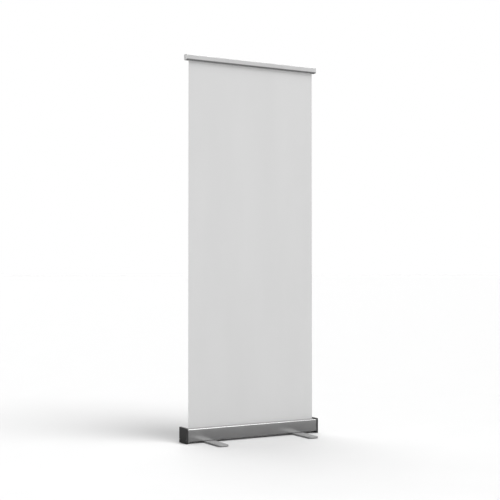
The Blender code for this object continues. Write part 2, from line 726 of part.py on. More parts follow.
# ---- Top rail -------------------------------------------------------------------
def rail_rear():
    """The rear half: a hollow section whose upper front edge is the jaw's hinge socket."""
    hinge = (FILM_Y, HINGE_Z)
    outline = filleted([
        (CLAMP_BACK, RAIL_BOTTOM, 0.0008),
        (RAIL_BACK, RAIL_BOTTOM, RAIL_CORNER),
        (RAIL_BACK, RAIL_TOP, RAIL_CORNER),
        (FILM_Y + BEAD_SOCKET * 0.45, RAIL_TOP, 0),
    ])
    outline += arc(hinge, BEAD_SOCKET, 65, -140, 12)
    outline += arc(hinge, BEAD_SOCKET + BEAD_SOCKET_WALL, -140, -82, 5)
    section = prism("rail_rear", outline, -RAIL_BODY_HALF, RAIL_BODY_HALF, "X", SILVER)
    hollow = prism("rail_hollow", rail_hollow(0), -RAIL_HALF, RAIL_HALF, "X", SILVER)
    cut(section, hollow)
    low, high = tongue_corners(GAP)
    cut(section, box("tongue_hole", low, high, SILVER))
    return section


def rail_hollow(clearance):
    """Outline of the rear half's hollow, or of a plug that fits in it with a clearance."""
    low = RAIL_BOTTOM + RAIL_WALL + clearance
    high = HINGE_Z - BEAD_SOCKET - BEAD_SOCKET_WALL - RAIL_WALL - clearance
    front = CLAMP_BACK + RAIL_WALL + clearance
    back = RAIL_BACK - RAIL_WALL - clearance
    radius = RAIL_CORNER - RAIL_WALL
    return filleted([(front, low, radius), (back, low, radius), (back, high, radius),
                     (front, high, radius)])


def rail_jaw():
    """The front half: an open section with a clamp lip below and a hinge bead above."""
    inner = RAIL_CORNER - RAIL_WALL
    neck = math.degrees(math.asin(NECK_HALF / BEAD_RADIUS))
    crest = RAIL_FRONT + 2 * RAIL_CORNER
    shoulder = FILM_Y - BEAD_SOCKET - BEAD_SOCKET_WALL - 2 * GAP
    outline = arc((FILM_Y, HINGE_Z), BEAD_RADIUS, 180 - neck, -180 + neck, 14)
    outline += filleted([
        (shoulder, HINGE_Z - NECK_HALF, 0.0006),
        (crest, RAIL_TOP - RAIL_WALL - NECK_HALF, inner),
        (RAIL_FRONT + RAIL_WALL, RAIL_TOP - RAIL_WALL - NECK_HALF, inner),
        (RAIL_FRONT + RAIL_WALL, RAIL_BOTTOM + RAIL_WALL, inner),
        (CLAMP_FRONT - RAIL_WALL, RAIL_BOTTOM + RAIL_WALL, 0.0004),
        (CLAMP_FRONT - RAIL_WALL, RAIL_BOTTOM + JAW_LIP, 0.0004),
        (CLAMP_FRONT, RAIL_BOTTOM + JAW_LIP, 0.0004),
        (CLAMP_FRONT, RAIL_BOTTOM, 0.0008),
        (RAIL_FRONT, RAIL_BOTTOM, RAIL_CORNER),
        (RAIL_FRONT, RAIL_TOP, RAIL_CORNER),
        (crest, RAIL_TOP, RAIL_CORNER),
        (shoulder, HINGE_Z + NECK_HALF, 0.0006),
    ])
    return prism("rail_jaw", outline, -RAIL_BODY_HALF, RAIL_BODY_HALF, "X", SILVER)


def rail_cap(name, side):
    """The plastic end of the rail, plugged into the rear half's hollow."""
    outline = filleted([
        (RAIL_FRONT, RAIL_BOTTOM, RAIL_CORNER),
        (RAIL_BACK, RAIL_BOTTOM, RAIL_CORNER),
        (RAIL_BACK, RAIL_TOP, RAIL_CORNER),
        (RAIL_FRONT, RAIL_TOP, RAIL_CORNER),
    ])
    seat = side * (RAIL_HALF - RAIL_CAP_THICKNESS)
    cap = prism(name, outline, *sorted((seat, side * RAIL_HALF)), "X", GREY_PLASTIC)
    plug = prism("rail_plug", rail_hollow(GAP),
                 *sorted((seat + side * 0.001, seat - side * RAIL_CAP_SPIGOT)), "X", GREY_PLASTIC)
    join(cap, plug)
    return cap


carry(rail_slide, rail_rear(), rail_cap("rail_cap_left", -1), rail_cap("rail_cap_right", 1))
jaw_hinge = carrier("rail_jaw_hinge", (0, FILM_Y, HINGE_Z))
carry(jaw_hinge, rail_jaw())
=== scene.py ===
"""Looks of a roll-up banner stand: every visible piece as a fine surface with its own finish."""
import math

import bpy
import numpy as np
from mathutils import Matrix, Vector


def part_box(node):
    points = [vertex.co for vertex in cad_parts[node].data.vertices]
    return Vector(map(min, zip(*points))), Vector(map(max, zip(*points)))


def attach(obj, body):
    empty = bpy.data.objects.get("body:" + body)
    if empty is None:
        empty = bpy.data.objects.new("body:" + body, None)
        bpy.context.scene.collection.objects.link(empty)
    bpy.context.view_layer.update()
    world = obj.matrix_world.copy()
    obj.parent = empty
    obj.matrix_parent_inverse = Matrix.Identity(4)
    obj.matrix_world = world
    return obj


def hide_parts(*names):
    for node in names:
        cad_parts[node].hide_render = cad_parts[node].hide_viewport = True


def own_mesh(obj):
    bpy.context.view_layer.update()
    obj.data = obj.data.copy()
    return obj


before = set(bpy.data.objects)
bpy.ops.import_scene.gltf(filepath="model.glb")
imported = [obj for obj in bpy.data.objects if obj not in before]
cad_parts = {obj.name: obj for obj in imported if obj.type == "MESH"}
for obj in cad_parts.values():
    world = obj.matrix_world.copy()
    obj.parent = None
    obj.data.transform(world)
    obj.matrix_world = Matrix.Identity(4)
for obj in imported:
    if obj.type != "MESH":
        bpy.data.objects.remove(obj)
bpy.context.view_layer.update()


# ---- Studio -------------------------------------------------------------------
# A matt floor and white walls under a dim ceiling, with a broad soft light high up in front and
# a weaker one behind. Polished pieces mirror a dim ground, not the floor. The camera stands low
# on the left.
def plain_mesh(name, points, faces):
    """Mesh object from an array of points and a list of faces."""
    mesh = bpy.data.meshes.new(name)
    mesh.from_pydata(np.asarray(points, float).tolist(), [], faces)
    mesh.update()
    made = bpy.data.objects.new(name, mesh)
    bpy.context.scene.collection.objects.link(made)
    return made


def grey(level):
    """A neutral colour of one level."""
    return (level, level, level)


def new_finish(name, metallic, specular=0.5):
    """An empty Principled material, with its node tree and its shader."""
    made = bpy.data.materials.new(name)
    made.use_nodes = True
    shader = made.node_tree.nodes["Principled BSDF"]
    shader.inputs["Metallic"].default_value = metallic
    shader.inputs["Specular IOR Level"].default_value = specular
    return made, made.node_tree, shader


def grain(tree, scale, detail=4.0, offset=(0, 0, 0)):
    """Noise on Object coordinates; a scale per axis draws it out into streaks."""
    place = tree.nodes.new("ShaderNodeTexCoord")
    mapping = tree.nodes.new("ShaderNodeMapping")
    mapping.inputs["Scale"].default_value = scale
    mapping.inputs["Location"].default_value = offset
    noise = tree.nodes.new("ShaderNodeTexNoise")
    noise.inputs["Scale"].default_value = 1.0
    noise.inputs["Detail"].default_value = detail
    tree.links.new(place.outputs["Object"], mapping.inputs["Vector"])
    tree.links.new(mapping.outputs["Vector"], noise.inputs["Vector"])
    return noise.outputs["Fac"]


def spread(tree, value, low, high, start=0.3, end=0.7):
    """A number from low to high as the noise goes from start to end."""
    ranged = tree.nodes.new("ShaderNodeMapRange")
    ranged.inputs["From Min"].default_value = start
    ranged.inputs["From Max"].default_value = end
    ranged.inputs["To Min"].default_value = low
    ranged.inputs["To Max"].default_value = high
    tree.links.new(value, ranged.inputs["Value"])
    return ranged.outputs["Result"]


def shades(tree, value, dark, light, start=0.3, end=0.7):
    """A colour between two shades."""
    ramp = tree.nodes.new("ShaderNodeValToRGB")
    ramp.color_ramp.elements[0].position = start
    ramp.color_ramp.elements[0].color = (*dark, 1)
    ramp.color_ramp.elements[1].position = end
    ramp.color_ramp.elements[1].color = (*light, 1)
    tree.links.new(value, ramp.inputs["Fac"])
    return ramp.outputs["Color"]


def floor_finish():
    """Matt pale paint with a barely visible speckle."""
    made, tree, shader = new_finish("studio_floor", metallic=0.0, specular=0.25)
    speckle = grain(tree, (3, 3, 3))
    tree.links.new(shades(tree, speckle, grey(0.698), grey(0.708)), shader.inputs["Base Color"])
    tree.links.new(spread(tree, speckle, 0.55, 0.6), shader.inputs["Roughness"])
    return made


FLOOR_REACH = 200.0
floor_corners = FLOOR_REACH * np.array([(-1, -1, 0), (1, -1, 0), (1, 1, 0), (-1, 1, 0)])
floor = plain_mesh("studio_floor_plane", floor_corners, [(0, 1, 2, 3)])
floor.data.materials.append(floor_finish())
floor.visible_glossy = False


def greys_by_elevation(tree, stops):
    """Surroundings whose grey depends on the elevation alone, and goes evenly with its sine from
    one (degrees, level) stop to the next."""
    towards = tree.nodes.new("ShaderNodeTexCoord")
    upward = tree.nodes.new("ShaderNodeSeparateXYZ")
    tree.links.new(towards.outputs["Generated"], upward.inputs["Vector"])
    ramp = tree.nodes.new("ShaderNodeValToRGB")
    tree.links.new(spread(tree, upward.outputs["Z"], 0, 1, -1, 1), ramp.inputs["Fac"])
    marks = ramp.color_ramp.elements
    places = [(1 + math.sin(math.radians(degrees))) / 2 for degrees, level in stops]
    marks[0].position = places[0]
    marks[1].position = places[-1]
    for place in places[1:-1]:
        marks.new(place)
    for mark, (degrees, level) in zip(marks, stops):
        mark.color = (*grey(level), 1)
    return ramp.outputs["Color"]


GROUND_GREY = 0.04
WALL_WHITE = 1.0
CEILING_GREY = 0.16
room = bpy.data.worlds.new("white_walls_dim_ceiling")
room.use_nodes = True
stops = [(-1.7, GROUND_GREY), (-0.9, WALL_WHITE), (20, WALL_WHITE), (30, CEILING_GREY)]
surroundings = greys_by_elevation(room.node_tree, stops)
room.node_tree.links.new(surroundings, room.node_tree.nodes["Background"].inputs["Color"])
bpy.context.scene.world = room


def soft_sun(name, toward, strength, spread_angle):
    """A broad distant light, coming from the given direction."""
    lamp = bpy.data.lights.new(name, "SUN")
    lamp.energy = strength
    lamp.angle = math.radians(spread_angle)
    made = bpy.data.objects.new(name, lamp)
    flat = math.hypot(toward[0], toward[1])
    made.rotation_euler = (math.atan2(flat, toward[2]), 0, math.atan2(toward[0], -toward[1]))
    bpy.context.scene.collection.objects.link(made)
    return made


soft_sun("front_softbox", toward=(0.25, -0.516, 0.819), strength=2.68, spread_angle=42)
soft_sun("back_softbox", toward=(0.073, 0.416, 0.906), strength=1.50, spread_angle=40)

LENS = 77.25
LEFT_OF_FILM = 3.001
IN_FRONT_OF_FILM = 5.239
EYE_HEIGHT = 0.936
TILT_UP = 1.116
TURN_RIGHT = 29.69
camera_data = bpy.data.cameras.new("camera")
camera_data.lens = LENS
camera = bpy.data.objects.new("camera", camera_data)
film_plane = (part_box("banner")[0].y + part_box("banner")[1].y) / 2
camera.location = (-LEFT_OF_FILM, film_plane - IN_FRONT_OF_FILM, EYE_HEIGHT)
camera.rotation_euler = (math.radians(90 + TILT_UP), 0, -math.radians(TURN_RIGHT))
bpy.context.scene.collection.objects.link(camera)
bpy.context.scene.camera = camera
bpy.context.scene.view_settings.view_transform = "Standard"

# ---- Cassette extrusion ---------------------------------------------------------
# One C-shaped aluminium section, pressed through a die, polished, anodised and cut to
# length. The film comes out of the slot on top; screw bosses run along its floor.


def rounded(corners, steps=8):
    """Closed outline through (a, b, radius) corners. Each corner is the arc that touches both of
    its sides, at an equal distance from the corner along each."""
    points = np.array([corner[:2] for corner in corners], float)
    radii = np.array([corner[2] for corner in corners], float)
    before = np.roll(points, 1, axis=0) - points
    after = np.roll(points, -1, axis=0) - points
    before /= np.linalg.norm(before, axis=1, keepdims=True)
    after /= np.linalg.norm(after, axis=1, keepdims=True)
    half = np.arccos(np.clip((before * after).sum(axis=1), -1, 1)) / 2
    outward = before + after
    outward /= np.linalg.norm(outward, axis=1, keepdims=True)
    centre = points + outward * (radii / np.sin(half))[:, None]
    first = before * (radii / np.tan(half))[:, None] + points - centre
    last = after * (radii / np.tan(half))[:, None] + points - centre
    start = np.arctan2(first[:, 1], first[:, 0])
    turn = (np.arctan2(last[:, 1], last[:, 0]) - start + math.pi) % (2 * math.pi) - math.pi
    share = np.linspace(0, 1, steps + 1)
    pieces = []
    for index, radius in enumerate(radii):
        if radius == 0:
            pieces.append(points[index:index + 1])
            continue
        angle = start[index] + turn[index] * share
        pieces.append(centre[index] + radius * np.stack([np.cos(angle), np.sin(angle)], axis=1))
    return np.concatenate(pieces)


def rounded_oblong(left, bottom, right, top, radius, steps=8):
    """A rectangle with four equal round corners."""
    corners = [(left, bottom, radius), (right, bottom, radius), (right, top, radius), (left, top, radius)]
    return rounded(corners, steps)


def skin(name, grid, closed_rows=False, sharp=35):
    """Mesh through a grid of points. Columns run round each row and meet; the rows meet too when
    closed_rows is set, and otherwise the first and last row are each filled with one flat face."""
    rows, columns = grid.shape[:2]
    index = np.arange(rows * columns).reshape(rows, columns)
    here = index if closed_rows else index[:-1]
    above = np.roll(index, -1, axis=0) if closed_rows else index[1:]
    quads = np.stack([here, np.roll(here, -1, axis=1), np.roll(above, -1, axis=1), above], axis=-1)
    faces = quads.reshape(-1, 4).tolist()
    if not closed_rows:
        faces += [index[0][::-1].tolist(), index[-1].tolist()]
    made = plain_mesh(name, grid.reshape(-1, 3), faces)
    outward(made)
    made.data.shade_smooth()
    made.data.set_sharp_from_angle(angle=math.radians(sharp))
    return made


def outward(piece):
    """Turn every face the right way when the mesh's signed volume comes out negative."""
    mesh = piece.data
    mesh.calc_loop_triangles()
    corners = np.zeros(len(mesh.vertices) * 3)
    mesh.vertices.foreach_get("co", corners)
    triangles = np.zeros(len(mesh.loop_triangles) * 3, int)
    mesh.loop_triangles.foreach_get("vertices", triangles)
    a, b, c = corners.reshape(-1, 3)[triangles.reshape(-1, 3)].transpose(1, 0, 2)
    if (a * np.cross(b, c)).sum() < 0:
        mesh.flip_normals()


def carried(name, outline, low, high, along="x", sharp=35):
    """A flat outline carried straight along X, as (y, z), or along Z, as (x, y)."""
    grid = np.zeros((2, len(outline), 3))
    grid[:, :, 0 if along == "x" else 2] = np.array([[low], [high]])
    target = grid[:, :, 1:3] if along == "x" else grid[:, :, 0:2]
    target[:] = outline
    return skin(name, grid, sharp=sharp)


def fit(piece, body, slot, finish, *nodes):
    """Give a piece its finish, hang it on its body and let it stand for its CAD nodes."""
    piece.data.materials.clear()
    piece.data.materials.append(finish)
    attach(piece, body)
    if nodes:
        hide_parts(*nodes)
    return piece


def raised(tree, height, distance, strength):
    """A bump whose full height is a distance in metres, at a share of its strength."""
    bump = tree.nodes.new("ShaderNodeBump")
    bump.inputs["Distance"].default_value = distance
    bump.inputs["Strength"].default_value = strength
    tree.links.new(height, bump.inputs["Height"])
    return bump.outputs["Normal"]


def drawn_aluminium(name, shade, roughness, coat=0.0, along="x", streak=0.05, metal=0.9, relief=0.2):
    """Anodised aluminium with die lines along its length and faint clouds in its shade."""
    made, tree, shader = new_finish(name, metallic=metal)
    shader.inputs["Coat Weight"].default_value = coat
    shader.inputs["Coat Roughness"].default_value = 0.12
    stretch = (3, 1400, 1400) if along == "x" else (1400, 1400, 3)
    lines = grain(tree, stretch, detail=3.0)
    clouds = grain(tree, (9, 9, 9), detail=5.0, offset=(3, 1, 2))
    colour = shades(tree, clouds, grey(0.95 * shade), grey(1.05 * shade))
    gloss = spread(tree, lines, roughness - streak, roughness + streak)
    tree.links.new(colour, shader.inputs["Base Color"])
    tree.links.new(gloss, shader.inputs["Roughness"])
    tree.links.new(raised(tree, lines, distance=0.00002, strength=relief), shader.inputs["Normal"])
    return made


low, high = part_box("cassette_extrusion")
CASSETTE_FINISH = drawn_aluminium("cassette_polished_anodised", shade=0.45, roughness=0.19, coat=0.1,
                                  streak=0.02, metal=0.69, relief=0.02)
WALL = 0.002
SECTION_CORNER = 0.005
BOSS = 0.0125
SLOT = 0.008
SLOT_EDGE = 0.0006
BOSS_EDGE = 0.0005
slot_front = film_plane - SLOT / 2
slot_back = film_plane + SLOT / 2
fillet = SECTION_CORNER - WALL
section = rounded([
    (slot_front, high.z, SLOT_EDGE),
    (low.y, high.z, SECTION_CORNER),
    (low.y, low.z, WALL),
    (high.y, low.z, WALL),
    (high.y, high.z, SECTION_CORNER),
    (slot_back, high.z, SLOT_EDGE),
    (slot_back, high.z - WALL, SLOT_EDGE),
    (high.y - WALL, high.z - WALL, fillet),
    (high.y - WALL, low.z + BOSS, BOSS_EDGE),
    (high.y - BOSS, low.z + BOSS, fillet),
    (high.y - BOSS, low.z + WALL, BOSS_EDGE),
    (low.y + BOSS, low.z + WALL, BOSS_EDGE),
    (low.y + BOSS, low.z + BOSS, fillet),
    (low.y + WALL, low.z + BOSS, BOSS_EDGE),
    (low.y + WALL, high.z - WALL, fillet),
    (slot_front, high.z - WALL, SLOT_EDGE),
])
cassette = carried("cassette_housing", section, low.x, high.x)
fit(cassette, "root", "cassette", CASSETTE_FINISH, "cassette_extrusion")

# ---- End caps -------------------------------------------------------------------
# Moulded ABS covers pressed into both ends of the section and held by two screws each.
# They stand a little proud of the aluminium all round and reach down to the floor.


def counter_clockwise(outline):
    """The same outline, ordered so that its inside is on the left."""
    following = np.roll(outline, -1, axis=0)
    area = (outline[:, 0] * following[:, 1] - outline[:, 1] * following[:, 0]).sum()
    return outline if area > 0 else outline[::-1]


def drawn_in(outline, distance):
    """Each point moved inwards, square to the outline, by a distance."""
    along = np.roll(outline, -1, axis=0) - np.roll(outline, 1, axis=0)
    along /= np.linalg.norm(along, axis=1, keepdims=True)
    return outline + distance * np.stack([-along[:, 1], along[:, 0]], axis=1)


def slab(name, outline, low, high, edge, along="z", arc_steps=6, sharp=35):
    """A plate whose edge is rounded: the outline rises from low to high, and near each face it is
    drawn in by edge * (1 - cos t) at a height edge * (1 - sin t) from the face, a quarter circle."""
    outline = counter_clockwise(np.asarray(outline, float))
    t = np.linspace(math.pi / 2, 0, arc_steps + 1)
    inset = edge * (1 - np.cos(t))
    rise = edge * (1 - np.sin(t))
    insets = np.concatenate([inset, inset[::-1]])
    levels = np.concatenate([low + rise, high - rise[::-1]])
    flat = np.stack([drawn_in(outline, distance) for distance in insets])
    level = np.broadcast_to(levels[:, None, None], flat.shape[:2] + (1,))
    parts = (level, flat) if along == "x" else (flat, level)
    return skin(name, np.concatenate(parts, axis=2), sharp=sharp)


def moulded_plastic(name, shade, roughness):
    """Injection-moulded plastic: spark-eroded grain, slight sink clouds and rubbed patches."""
    made, tree, shader = new_finish(name, metallic=0.0, specular=0.35)
    pits = grain(tree, (2600, 2600, 2600), detail=2.0)
    rubbed = grain(tree, (14, 14, 14), detail=6.0, offset=(1, 7, 4))
    colour = shades(tree, rubbed, grey(0.9 * shade), grey(1.12 * shade))
    gloss = spread(tree, rubbed, roughness - 0.06, roughness + 0.06)
    tree.links.new(colour, shader.inputs["Base Color"])
    tree.links.new(gloss, shader.inputs["Roughness"])
    tree.links.new(raised(tree, pits, distance=0.00004, strength=0.5), shader.inputs["Normal"])
    return made


def fused(piece, tool, operation):
    """Join a closed tool onto a piece or cut it away, for good."""
    modifier = piece.modifiers.new(operation, "BOOLEAN")
    modifier.operation = operation
    modifier.solver = "EXACT"
    modifier.object = tool
    bpy.context.view_layer.update()
    graph = bpy.context.evaluated_depsgraph_get()
    mesh = bpy.data.meshes.new_from_object(piece.evaluated_get(graph))
    piece.modifiers.clear()
    piece.data = mesh
    mesh.shade_smooth()
    mesh.set_sharp_from_angle(angle=math.radians(35))
    bpy.data.objects.remove(tool)
    return piece


def circle(a, b, radius, sides=48):
    """A round outline about a centre."""
    t = np.linspace(0, 2 * math.pi, sides, endpoint=False)
    return np.stack([a + radius * np.cos(t), b + radius * np.sin(t)], axis=1)


BLACK_PLASTIC = moulded_plastic("black_moulded_plastic", shade=0.033, roughness=0.48)
CAP_THICKNESS = 0.012
CAP_CORNER = 0.004
CAP_EDGE = 0.0016
CAP_FOOT = 0.002
SCREW_INSET = 0.0075
SCREW_RECESS = 0.0039
SCREW_HEAD_DEPTH = 0.0030
OVERCUT = 0.001
shell_low, shell_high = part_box("cassette_extrusion")
screw_rows = (shell_low.y + SCREW_INSET, shell_high.y - SCREW_INSET)
screw_height = shell_low.z + SCREW_INSET
for label, side in (("left", -1), ("right", 1)):
    low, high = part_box("end_cap_" + label)
    face = rounded([
        (low.y, low.z, CAP_FOOT),
        (high.y, low.z, CAP_FOOT),
        (high.y, high.z, CAP_CORNER),
        (low.y, high.z, CAP_CORNER),
    ])
    outside = side * max(abs(low.x), abs(high.x))
    inside = outside - side * CAP_THICKNESS
    cap = slab("end_cap_cover_" + label, face, *sorted((inside, outside)), CAP_EDGE, "x")
    for y in screw_rows:
        ends = sorted((outside - side * SCREW_HEAD_DEPTH, outside + side * OVERCUT))
        fused(cap, carried("screw_recess", circle(y, screw_height, SCREW_RECESS), *ends), "DIFFERENCE")
    fit(cap, "root", "black_plastic", BLACK_PLASTIC, "end_cap_" + label)

# ---- Screws and swivel bolts --------------------------------------------------------
# Zinc-plated steel: pan heads with a cross recess in the caps, and button heads with a
# hexagon socket under the feet. Each head is one pressing on a plain shank.


def zinc_steel(name):
    """Bright zinc plating: small spangles of differing shade and gloss."""
    made, tree, shader = new_finish(name, metallic=1.0)
    spangle = grain(tree, (500, 500, 500), detail=3.0)
    colour = shades(tree, spangle, (0.50, 0.50, 0.52), (0.62, 0.62, 0.63))
    tree.links.new(colour, shader.inputs["Base Color"])
    tree.links.new(spread(tree, spangle, 0.24, 0.38), shader.inputs["Roughness"])
    tree.links.new(raised(tree, spangle, distance=0.00002, strength=0.3), shader.inputs["Normal"])
    return made


def smooth_step(value, start, end):
    """0 before start, 1 after end, and share^2 * (3 - 2 * share), a smooth S, in between."""
    share = np.clip((value - start) / (end - start), 0, 1)
    return share * share * (3 - 2 * share)


def cross_recess(a, b, radius):
    """Depth share of a cross: full where either coordinate is small and the other isn't large."""
    narrow = 0.16 * radius
    arm = 0.62 * radius
    one = (1 - smooth_step(abs(a), narrow, 1.5 * narrow)) * (1 - smooth_step(abs(b), 0.8 * arm, arm))
    two = (1 - smooth_step(abs(b), narrow, 1.5 * narrow)) * (1 - smooth_step(abs(a), 0.8 * arm, arm))
    return np.maximum(one, two)


def hexagon_recess(a, b, radius):
    """Depth share of a hexagon socket: full where the distance from the middle, square to the
    farthest flat, is under 0.50 of the radius, and nothing from 0.54 of it."""
    sine = 0.866
    farthest = np.maximum(abs(a), np.maximum(abs(0.5 * a + sine * b), abs(0.5 * a - sine * b)))
    return 1 - smooth_step(farthest, 0.50 * radius, 0.54 * radius)


def headed_screw(name, radius, height, shank, length, recess, depth, place, sign, axis):
    """A head and shank on a polar grid. Out to the rim, at a radius R, the surface is a dome,
    height * (0.55 + 0.45 * sqrt(1 - 0.96 * (r / R)^2)), less the recess; then it drops to the shank
    and runs to the tip."""
    sides = 72
    angle = np.linspace(0, 2 * math.pi, sides, endpoint=False)
    reach = np.concatenate([np.linspace(0.02, 0.97, 26), [1.0]])[:, None] * radius
    a = reach * np.cos(angle)
    b = reach * np.sin(angle)
    dome = height * (0.55 + 0.45 * np.sqrt(1 - 0.96 * (reach / radius) ** 2)) + 0 * a
    top = np.stack([a, b, dome - depth * recess(a, b, radius)], axis=2)
    below = [(radius, 0.02 * height), (radius * 0.985, 0), (shank * 1.1, 0), (shank, -0.0002),
             (shank, -length + 0.0005), (shank * 0.7, -length)]
    reach, level = np.array(below).T[:, :, None]
    rest = np.stack([reach * np.cos(angle), reach * np.sin(angle), level + 0 * angle], axis=2)
    grid = np.concatenate([top, rest])
    grid[:, :, 2] *= sign
    if axis == "x":
        grid = grid[:, :, [2, 0, 1]]
    return skin(name, grid + np.array(place), sharp=40)


ZINC = zinc_steel("zinc_plated_steel")
PAN_RADIUS = 0.0036
PAN_HEIGHT = 0.0024
PAN_SHANK = 0.0017
CROSS_DEPTH = 0.0012
for label, side in (("left", -1), ("right", 1)):
    for place, y in zip(("front", "rear"), screw_rows):
        node = "cap_screw_" + label + "_" + place
        low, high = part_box(node)
        length = (high.x - low.x) - PAN_HEIGHT
        under_head = side * (max(abs(low.x), abs(high.x)) - PAN_HEIGHT)
        screw = headed_screw("pan_screw_" + label + "_" + place, PAN_RADIUS, PAN_HEIGHT, PAN_SHANK,
                             length, cross_recess, CROSS_DEPTH, (under_head, y, screw_height), side, "x")
        fit(screw, "root", "steel", ZINC, node)

# ---- Roller and spring ------------------------------------------------------------
# An aluminium tube on two flanged nylon plugs, turning on a fixed steel shaft with a
# torsion spring at one end and on a pin at the other. The last turns of film stay on it.


def turned(name, profile, centre, axis, closed=True, sides=96, waves=None):
    """A (radius, height) profile turned once about an axis. With waves = (count, depth, low, high)
    the radius gains depth * cos(count * angle), faded in and out between the two heights."""
    profile = np.asarray(profile, float)
    angle = np.linspace(0, 2 * math.pi, sides, endpoint=False)
    reach = np.repeat(profile[:, :1], sides, axis=1)
    if waves is not None:
        count, depth, low, high = waves
        rows = profile[:, 1]
        fade = smooth_step(rows, low, low + 0.002) * (1 - smooth_step(rows, high - 0.002, high))
        outer = profile[:, 0] > 0.97 * profile[:, 0].max()
        reach = reach + (depth * fade * outer)[:, None] * np.cos(count * angle)
    level = np.repeat(profile[:, 1:], sides, axis=1)
    round_a = reach * np.cos(angle)
    round_b = reach * np.sin(angle)
    order = (level, round_a, round_b) if axis == "x" else (round_a, round_b, level)
    return skin(name, np.stack(order, axis=2) + np.array(centre), closed_rows=closed, sharp=40)


def coil(name, radius, wire, turns, start, end, centre, steps=28, around=10):
    """A round wire along a helix about X: its middle is at radius from the axis at an angle t, and x
    goes from start to end with t; each ring round the wire is set square to the helix."""
    t = np.linspace(0, 2 * math.pi * turns, int(turns * steps) + 1)
    path = np.stack([np.linspace(start, end, len(t)), radius * np.cos(t), radius * np.sin(t)], axis=1)
    out = np.stack([0 * t, np.cos(t), np.sin(t)], axis=1)
    ahead = np.gradient(path, axis=0)
    ahead /= np.linalg.norm(ahead, axis=1, keepdims=True)
    across = np.cross(ahead, out)
    turn = np.linspace(0, 2 * math.pi, around, endpoint=False)[None, :, None]
    grid = path[:, None, :] + wire * (out[:, None, :] * np.cos(turn) + across[:, None, :] * np.sin(turn))
    return skin(name, grid + np.array(centre), sharp=60)


def wound_sheet(name, inner, outer, turns, half, centre, sides=90):
    """Film wound on the roller: a spiral strip along X whose radius grows evenly with the angle, from
    inner, by (outer - inner) / (turns + 0.9) a turn; the strip is 0.8 of that thick."""
    t = np.linspace(0, 2 * math.pi * turns, int(sides * turns) + 1)
    pitch = (outer - inner) / (turns + 0.9)
    radius = inner + pitch * t / (2 * math.pi)
    thick = 0.8 * pitch
    under = np.stack([radius * np.cos(t), radius * np.sin(t)], axis=1)
    over = np.stack([(radius + thick) * np.cos(t), (radius + thick) * np.sin(t)], axis=1)
    outline = np.concatenate([under, over[::-1]]) + np.array(centre[1:])
    return carried(name, outline, centre[0] - half, centre[0] + half, sharp=50)


GREY_PLASTIC = moulded_plastic("light_grey_moulded_plastic", shade=0.58, roughness=0.42)
SILVER = drawn_aluminium("natural_silver_anodised", shade=0.60, roughness=0.30)
roll_low, roll_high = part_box("banner_roll")
roll_radius = (roll_high.y - roll_low.y) / 2
axle = (0, (roll_high.y + roll_low.y) / 2, (roll_high.z + roll_low.z) / 2)
low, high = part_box("roller_tube")
tube_radius = (high.y - low.y) / 2
TUBE_WALL = 0.0012
BREAK = 0.0002
tube_ring = rounded_oblong(tube_radius - TUBE_WALL, low.x, tube_radius, high.x, BREAK, 3)
fit(turned("roller_core", tube_ring, axle, "x"), "roller", "silver", SILVER, "roller_tube")

shaft_radius = (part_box("idle_pin")[1].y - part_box("idle_pin")[0].y) / 2
RUNNING_GAP = 0.0003
PLUG_FLANGE = 0.002
for node, side in (("roller_plug_idle", -1), ("roller_plug_spring", 1)):
    low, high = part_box(node)
    far = side * max(abs(low.x), abs(high.x))
    near = side * min(abs(low.x), abs(high.x))
    bore = shaft_radius + RUNNING_GAP
    spigot = tube_radius - TUBE_WALL - RUNNING_GAP
    step = far - side * PLUG_FLANGE
    plug = rounded([(bore, near, 0.0004), (spigot, near, 0.0008), (spigot, step, 0.0001),
                    (tube_radius, step, 0.0003), (tube_radius, far, 0.0006), (bore, far, 0.0004)], 4)
    fit(turned(node + "_moulding", plug, axle, "x"), "roller", "grey_plastic", GREY_PLASTIC, node)
low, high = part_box("shaft_bearing")
bearing = rounded([(bore, low.x, 0.0004), (spigot, low.x, 0.0006), (spigot, high.x, 0.0006),
                   (bore, high.x, 0.0004)], 3)
fit(turned("shaft_bearing_disc", bearing, axle, "x"), "roller", "grey_plastic", GREY_PLASTIC,
    "shaft_bearing")

for node, piece in (("spring_shaft", "spring_shaft_bar"), ("idle_pin", "idle_pin_bar")):
    low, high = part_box(node)
    bar = rounded([(0.0004, low.x, 0), (shaft_radius, low.x, 0.0006), (shaft_radius, high.x, 0.0006),
                   (0.0004, high.x, 0)], 4)
    fit(turned(piece, bar, axle, "x", closed=False, sides=64), "root", "steel", ZINC, node)
low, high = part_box("spring_anchor")
anchor_radius = (high.y - low.y) / 2
anchor = rounded([(bore, low.x, 0.0003), (anchor_radius, low.x, 0.0008), (anchor_radius, high.x, 0.0008),
                  (bore, high.x, 0.0003)], 4)
fit(turned("spring_anchor_ring", anchor, axle, "x", sides=64), "root", "steel", ZINC, "spring_anchor")
SPRING_WIRE = 0.0009
SPRING_TURNS = 18
low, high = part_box("torsion_spring")
spring = coil("torsion_spring_wire", shaft_radius + RUNNING_GAP + SPRING_WIRE, 0.98 * SPRING_WIRE,
              SPRING_TURNS, low.x + SPRING_WIRE, high.x - SPRING_WIRE, axle)
fit(spring, "root", "steel", ZINC, "torsion_spring")

# ---- Film -----------------------------------------------------------------------------
# A blank 0.8 m wide polyester print film, matt white in front and grey behind to block light.
# It leaves the roll at the front, passes the slot and is clamped in the rail, kept taut.


def blended(tree, share, first, second):
    """From the first colour to the second as the share goes from 0 to 1."""
    mix = tree.nodes.new("ShaderNodeMixRGB")
    tree.links.new(share, mix.inputs["Fac"])
    tree.links.new(first, mix.inputs["Color1"])
    tree.links.new(second, mix.inputs["Color2"])
    return mix.outputs["Color"]


